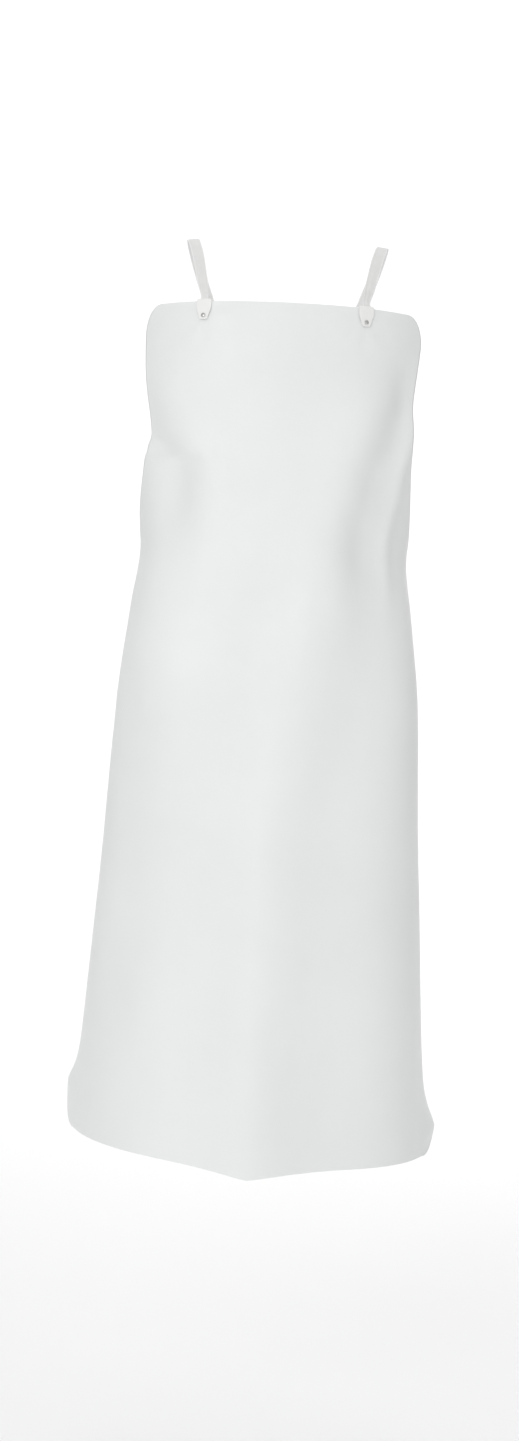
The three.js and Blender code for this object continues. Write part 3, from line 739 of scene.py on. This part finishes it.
# A strap from the bib over the left shoulder and across the back to the other ring: the pinched end
# with its drops below the bib's edge and its pleats, then place, direction, width and pleat.
shoulder = {
    "pinched": 10 * mm,
    "front": [[22.5, 0], [19, 0], [9, 0], [0, 0.15], [-8, 1]],
    "over": [
        [(106, -92, -72), (0.3, -0.9, 0.3), 14, 0.7],
        [(114, -66, -34), (0.2, -0.7, 0.65), 15, 0.2],
        [(121, -34, -9), (0.15, -0.35, 0.9), 15, 0],
        [(125, 0, 0.5), (0.1, 0, 1), 15, 0],
        [(123, 34, -8), (0.1, 0.4, 0.9), 15, 0],
        [(114, 66, -34), (0.15, 0.75, 0.65), 15, 0],
        [(98, 92, -74), (0.2, 0.9, 0.35), 15, 0],
        [(73, 111, -124), (0.15, 1, 0.15), 15, 0],
        [(38, 123, -182), (0.05, 1, 0.05), 15, 0],
    ],
    "run": (-0.47, 0, -0.88), "runStep": 17 * mm, "runStops": (-1.7, -1, 0, 1, 1.7),  # at the crossing
    "entry": 70 * mm, "entryRun": 22 * mm, "tail": 66 * mm,  # past the slider's place
    "bendFrom": 52 * mm, "bendTo": 4 * mm,  # places on the ring's line where the strap would bend as the ring swings; worked out in shoulderStrap but not used
    "frames": 420,
}


def shoulderStrap(side):
    lift = gap + tape["thickness"] / 2
    stops = []
    for drop, pleat in shoulder["front"]:
        f = sheetFrame(bibRivet["across"], drop * mm)
        stops.append(tapeFrame(f["at"] + f["out"] * lift, f["out"], shoulder["pinched"], pleat))
    for at, out, width, pleat in shoulder["over"]:
        stops.append(tapeFrame(Vector(at) * mm, Vector(out), width * mm, pleat))
    run, back = Vector(shoulder["run"]).normalized(), Vector((0, 1, 0))
    for past in shoulder["runStops"]:
        at = cross["at"] + run * (past * shoulder["runStep"]) + back * (side * crossingLift)
        stops.append(tapeFrame(at, back))
    line = harnessLine(-1)
    entry, middle = farBar + slider["place"] + shoulder["entry"], ringMiddle - layer
    for q in (entry + shoulder["entryRun"], entry):
        stops.append(tapeFrame(line["at"](q, middle), line["out"](q)))
    end = turnedEnd(line, farBar, ringMiddle, farBar + slider["place"] + shoulder["tail"], layer)
    name, other = sideNames[side], sideNames[-side]
    frames = mirroredFrames(route(stops, shoulder["frames"]) + end, side)
    piece, length = tapeMesh(name + "ShoulderStrap", frames)
    own = harnessLine(-side)
    bend, held = own["at"](shoulder["bendFrom"]), own["at"](farBar + shoulder["bendTo"])
    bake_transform(piece)
    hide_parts(name + "_shoulder_strap")


for side in sideNames:
    shoulderStrap(side)
stage("shoulder straps")


# A shield over the strap's end on the bib, in millimetres.
bibTab = {"across": 20, "foot": 11, "above": 2.5, "below": 24, "thickness": 0.8, "soft": 0.25,
          "taperFrom": 0.35, "corner": 2.5, "cornerIn": 4, "columns": 14, "rows": 28,
          "softSegments": 2, "sharp": 50}


def bibTabPiece(side):
    tab = bibTab
    low = gap * 2 + tape["thickness"]
    height = tab["above"] + tab["below"]
    bm = bmesh.new()
    bmesh.ops.create_grid(bm, x_segments=tab["columns"], y_segments=tab["rows"], size=0.5)
    for vertex in bm.verts:
        down = 0.5 - vertex.co.y
        taper = smooth((down - tab["taperFrom"]) / (1 - tab["taperFrom"]))
        corner = max(0.0, 1 - min(down, 1 - down) * height / tab["corner"])
        width = mix(tab["across"], tab["foot"], taper) - tab["cornerIn"] * (1 - math.sqrt(1 - corner**2))
        s = side * bibRivet["across"] + vertex.co.x * width * mm
        vertex.co = onSheet(s, (down * height - tab["above"]) * mm, low)
    bm.normal_update()
    if sum(f.normal.y for f in bm.faces) > 0:
        bmesh.ops.reverse_faces(bm, faces=bm.faces)
    name = sideNames[side]
    piece = collect(name + "BibTab", bm, patchPlastic)
    solidify = piece.modifiers.new("thickness", "SOLIDIFY")
    solidify.thickness, solidify.offset = tab["thickness"] * mm, 1
    edge = piece.modifiers.new("edge", "BEVEL")
    edge.width, edge.segments, edge.limit_method = tab["soft"] * mm, tab["softSegments"], "ANGLE"
    edge.angle_limit = math.radians(tab["sharp"])
    finish(piece, "root", name + "_bib_tab")


def ringTabPiece(side):
    # two leaves on the sheet, joined round the ring's near bar
    line = harnessLine(1)
    outer = standOff + tape["thickness"] / 2
    inner = -sheetCut["thickness"] - outer
    steps = ringTab["leafSteps"]
    leaf = [[-ringTab["leaf"] * (1 - i / steps), outer] for i in range(steps + 1)]
    high, low = [nearBar, ringMiddle + loopRadius], [nearBar, ringMiddle - loopRadius]
    points = leaf + eased(leaf[-1], high) + halfTurn(nearBar, ringMiddle, loopRadius, 90, -90)
    points += eased(low, [0, inner]) + [[q, inner] for q, _ in reversed(leaf)]
    name = sideNames[side]
    piece, length = tapeMesh(name + "RingTab", mirroredFrames(beside(line, points, 1), side))
    finish(piece, "root", name + "_ring_tab")


def waistStrapPiece(side):
    lift = standOff + tape["thickness"] / 2
    edge = halfWidth(waistDrop)
    stops = []
    for s in (edge - waist["onCloth"], edge - ringTab["rivetInset"], edge, edge + waist["past"]):
        f = sheetFrame(s, waistDrop)
        at = f["at"] + f["out"] * lift
        stops.append(tapeFrame(Vector((at.x, at.y, waistHeight)), f["out"]))
    line = waistLine(1)
    spacing = tape["thickness"] / 2 + gap / 2
    stops.append(tapeFrame(line["at"](waist["entry"], -spacing), line["out"](0)))
    frames = route(stops, waist["frames"]) + turnedEnd(line, 0, 0, waist["tail"], spacing)
    name = sideNames[side]
    piece, length = tapeMesh(name + "WaistStrap", mirroredFrames(frames, side))
    if side > 0:
        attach(piece, "root")
    else:
        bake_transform(piece)
    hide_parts(name + "_waist_strap")


# Domed rivets and the burrs behind them. The small cuts are bevels on their edges.
rivet = {
    "head": 2.8 * mm, "headHeight": 1.1 * mm, "headRise": 0.25, "headSteps": 10, "headCut": 0.15 * mm,
    "headRim": 0.12 * mm, "shank": 1.3 * mm, "footShare": 0.7, "footCut": 0.3 * mm,
    "burr": 3.6 * mm, "burrHeight": 0.8 * mm, "burrCut": 0.2 * mm, "burrRim": 0.25 * mm,
    "segments": 48, "sharp": 40,
}


def spun(name, profile, at, out):
    # a closed profile of [radius, height] turned about the way out
    bm = bmesh.new()
    verts = [bm.verts.new((r, 0, h)) for r, h in profile]
    edges = [bm.edges.new((a, b)) for a, b in zip(verts, verts[1:])]
    bmesh.ops.spin(bm, geom=verts + edges, cent=(0, 0, 0), axis=(0, 0, 1), dvec=(0, 0, 0),
                   angle=2 * math.pi, steps=rivet["segments"], use_merge=True)
    bmesh.ops.remove_doubles(bm, verts=bm.verts, dist=1e-6)
    bmesh.ops.recalc_face_normals(bm, faces=bm.faces)
    turn = out.to_track_quat("Z", "Y").to_matrix().to_4x4()
    turn.translation = at
    bmesh.ops.transform(bm, matrix=turn, verts=bm.verts)
    for edge in bm.edges:
        edge.smooth = edge.calc_face_angle(0.0) < math.radians(rivet["sharp"])
    return collect(name, bm, steel)


def rivetPieces(name, node, at, out, top, stack):
    # top is the head's seat out from the place, and stack is what the rivet holds together
    head, high, rise, shank = rivet["head"], rivet["headHeight"], rivet["headRise"], rivet["shank"]
    foot = -stack - rivet["burrHeight"] - gap
    angles = [math.radians(90 * i / rivet["headSteps"]) for i in range(rivet["headSteps"] + 1)]
    dome = [[head * math.cos(a), high * (rise + (1 - rise) * math.sin(a))] for a in angles]
    dome[-1][0] = 0.0
    profile = [[0, foot], [shank * rivet["footShare"], foot], [shank, foot + rivet["footCut"]],
               [shank, 0], [head - rivet["headCut"], 0], [head, rivet["headRim"]]] + dome
    finish(spun(name + "Rivet", profile, at + out * top, out), "root", node + "_rivet")
    hole, rim, deep, cut = shank + gap, rivet["burr"], rivet["burrHeight"], rivet["burrCut"]
    profile = [[hole, 0], [rim - cut, 0], [rim, cut], [rim, deep - cut],
               [rim - rivet["burrRim"], deep], [hole, deep], [hole, 0]]
    under = top - stack - gap - deep
    finish(spun(name + "Burr", profile, at + out * under, out), "root", node + "_burr")


bibTop = 3 * gap + tape["thickness"] + bibTab["thickness"] * mm
leafTop = standOff + tape["thickness"] + gap
filmThickness = sheetCut["thickness"]
for side, name in sideNames.items():
    bibTabPiece(side)
    ringTabPiece(side)
    waistStrapPiece(side)
    f = sheetFrame(side * bibRivet["across"], bibRivet["down"])
    rivetPieces(name + "Bib", name + "_bib", f["at"], f["out"], bibTop, bibTop + filmThickness + gap)
    line, q = harnessLine(side), -ringTab["rivetInset"]
    rivetPieces(name + "RingTab", name + "_ring_tab", line["at"](q), line["out"](q), leafTop,
                2 * leafTop + filmThickness)
    f = sheetFrame(side * (halfWidth(waistDrop) - ringTab["rivetInset"]), waistDrop)
    rivetPieces(name + "Waist", name + "_waist", f["at"], f["out"], leafTop,
                leafTop + filmThickness + gap)
rivetPieces("back", "back", cross["at"], Vector((0, 1, 0)), patchLift + cross["patch"] + gap,
            cross["patch"] + 3 * gap + 2 * crossingLift + tape["thickness"])
stage("tabs, waist straps and rivets")


# Bar tacks: a zigzag of thread over the tape, sewn from one side to the other.
tack = {"across": 9 * mm, "along": 2.4 * mm, "turns": 16, "thread": 0.2 * mm, "sides": 6,
        "raised": 0.1 * mm, "onTab": {"Upper": -3 * mm, "Lower": -22 * mm}, "onWaist": 23 * mm}


def barTack(name, line, q, n, body):
    across = line["out"](q).cross(line["along"]).normalized()
    centre, out = line["at"](q, n + tack["raised"]), line["out"](q)
    passes = 2 * tack["turns"]
    points = []
    for i in range(passes + 1):
        for lean, lift in ((0.0, 0.0), (0.5, 1.0)):
            t = i / passes + lean / passes - 0.5
            v = (1 - 2 * lean) * (0.5 if i % 2 else -0.5)
            points.append(centre + across * (t * tack["across"]) + line["along"] * (v * tack["along"])
                          + out * (lift * tack["thread"]))
    angles = [2 * math.pi * k / tack["sides"] for k in range(tack["sides"])]
    bm = bmesh.new()
    uv = bm.loops.layers.uv.new("UVMap")
    rounds = []
    for i, p in enumerate(points):
        run = (points[min(i + 1, len(points) - 1)] - points[max(i - 1, 0)]).normalized()
        first = run.cross(out).normalized()
        second = first.cross(run)
        rounds.append([bm.verts.new(p + (first * math.cos(a) + second * math.sin(a)) * tack["thread"])
                       for a in angles])
    for i, (low, high) in enumerate(zip(rounds, rounds[1:])):
        for k in range(tack["sides"]):
            j = (k + 1) % tack["sides"]
            face = bm.faces.new((low[k], low[j], high[j], high[k]))
            for loop, v in zip(face.loops, (i, i, i + 1, i + 1)):
                loop[uv].uv = (k / tack["sides"], v * 0.1)
    bm.faces.new(rounds[0])
    bm.faces.new(list(reversed(rounds[-1])))
    bmesh.ops.recalc_face_normals(bm, faces=bm.faces)
    piece = collect(name, bm, thread)
    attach(piece, body)


for side, name in sideNames.items():
    line = harnessLine(side)
    for place, q in tack["onTab"].items():
        barTack(name + "RingTab" + place + "Tack", line, q, leafTop - gap, "root")
    barTack(name + "WaistTack", waistLine(side), tack["onWaist"], gap / 2 + tape["thickness"],
            "root" if side > 0 else "plug")
stage("bar tacks")


# Moulded pieces keep their frame shape and get soft edges of these radii.
soft = {"ring": 0.5 * mm, "slider": 0.3 * mm, "backPatch": 0.25 * mm, "housing": 0.35 * mm,
        "plug": 0.3 * mm, "arm": 0.25 * mm, "segments": 3, "sharp": 32}


def rounded(name, node, body, material, radius):
    bm = bmesh.new()
    bm.from_mesh(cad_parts[node].data)
    bmesh.ops.remove_doubles(bm, verts=bm.verts, dist=1e-6)
    bmesh.ops.dissolve_limit(bm, angle_limit=math.radians(1), verts=bm.verts, edges=bm.edges)
    sharp = math.radians(soft["sharp"])
    edges = [e for e in bm.edges if len(e.link_faces) == 2 and e.calc_face_angle() > sharp]
    bmesh.ops.bevel(bm, geom=edges, offset=radius, offset_type="OFFSET", segments=soft["segments"],
                    profile=0.5, affect="EDGES", clamp_overlap=True, material=-1)
    bmesh.ops.recalc_face_normals(bm, faces=bm.faces)
    piece = collect(name, bm, material)
    weighted = piece.modifiers.new("shading", "WEIGHTED_NORMAL")
    weighted.keep_sharp = True
    finish(piece, body, node)


for name in sideNames.values():
    rounded(name + "WaistRing", name + "_waist_ring", name + "_ring", moulding, soft["ring"])
    rounded(name + "WaistSlider", name + "_waist_slider", name + "_slider", moulding,
            soft["slider"])
rounded("backPatch", "back_patch", "root", patchPlastic, soft["backPatch"])
rounded("buckleHousing", "buckle_housing", "root", moulding, soft["housing"])
rounded("bucklePlug", "buckle_plug", "plug", moulding, soft["plug"])
rounded("buckleUpperArm", "buckle_upper_arm", "upper_arm", moulding, soft["arm"])
rounded("buckleLowerArm", "buckle_lower_arm", "lower_arm", moulding, soft["arm"])
stage("mouldings")


# The floor runs up behind the object in one curve.
studio = {"floor": -1.6, "depth": 30.0, "width": 40.0, "radius": 2.5, "back": 7.5, "high": 9.0,
          "curveSteps": 12, "world": 0.6}

lights = [  # name, place, target, size and power
    ("key", (-1.45, -3.7, 0.45), (0, 0, -0.62), 2.2, 40),
    ("fill", (1.6, -3.6, -0.2), (0, 0, -0.7), 2.2, 9),
    ("top", (0, -0.6, 2.4), (0, 0, -0.5), 2.0, 9),
    ("leftWash", (-2.6, 4.4, 3.6), (-0.3, 7.5, 0.4), 2.0, 70),
    ("rightWash", (2.6, 4.4, 3.6), (0.3, 7.5, 0.4), 2.0, 70),
    ("floorWash", (0, 2.6, 3.0), (0, 2.6, -1.6), 3.0, 34),
    ("rear", (1.2, 3.6, 1.0), (0, 0, -0.5), 1.6, 14),
]

view = {"place": (-0.009, -2.85, -0.6246), "tilt": 90, "roll": -2.6, "lens": 54.3, "far": 50}


def backdrop():
    floor, back, radius, wide = studio["floor"], studio["back"], studio["radius"], studio["width"]
    profile = [(-studio["depth"], floor)]
    for i in range(studio["curveSteps"] + 1):
        a = math.radians(90 * i / studio["curveSteps"])
        profile.append((back - radius + radius * math.sin(a), floor + radius * (1 - math.cos(a))))
    profile.append((back, studio["high"]))
    bm = bmesh.new()
    verts = [bm.verts.new((-wide / 2, y, z)) for y, z in profile]
    edges = [bm.edges.new(pair) for pair in zip(verts, verts[1:])]
    swept = bmesh.ops.extrude_edge_only(bm, edges=edges)["geom"]
    moved = [v for v in swept if isinstance(v, bmesh.types.BMVert)]
    bmesh.ops.translate(bm, verts=moved, vec=(wide, 0, 0))
    collect("backdrop", bm, paleFloor)


def areaLight(name, place, target, size, power):
    data = bpy.data.lights.new(name, "AREA")
    data.shape, data.size, data.energy = "SQUARE", size, power
    lamp = bpy.data.objects.new(name, data)
    lamp.location = place
    lamp.rotation_euler = (Vector(target) - Vector(place)).to_track_quat("-Z", "Y").to_euler()
    lamp.visible_camera = False
    bpy.context.scene.collection.objects.link(lamp)


backdrop()
for light in lights:
    areaLight(*light)

world = bpy.data.worlds.new("studio")
world.use_nodes = True
world.node_tree.nodes["Background"].inputs["Color"].default_value = (1, 1, 1, 1)
world.node_tree.nodes["Background"].inputs["Strength"].default_value = studio["world"]
bpy.context.scene.world = world

camera = bpy.data.cameras.new("camera")
camera.lens = view["lens"]
camera.clip_end = view["far"]
eye = bpy.data.objects.new("camera", camera)
eye.location = view["place"]
eye.rotation_euler = (math.radians(view["tilt"]), math.radians(view["roll"]), 0)
bpy.context.scene.collection.objects.link(eye)
bpy.context.scene.camera = eye
bpy.context.scene.view_settings.view_transform = "Standard"
stage("studio")
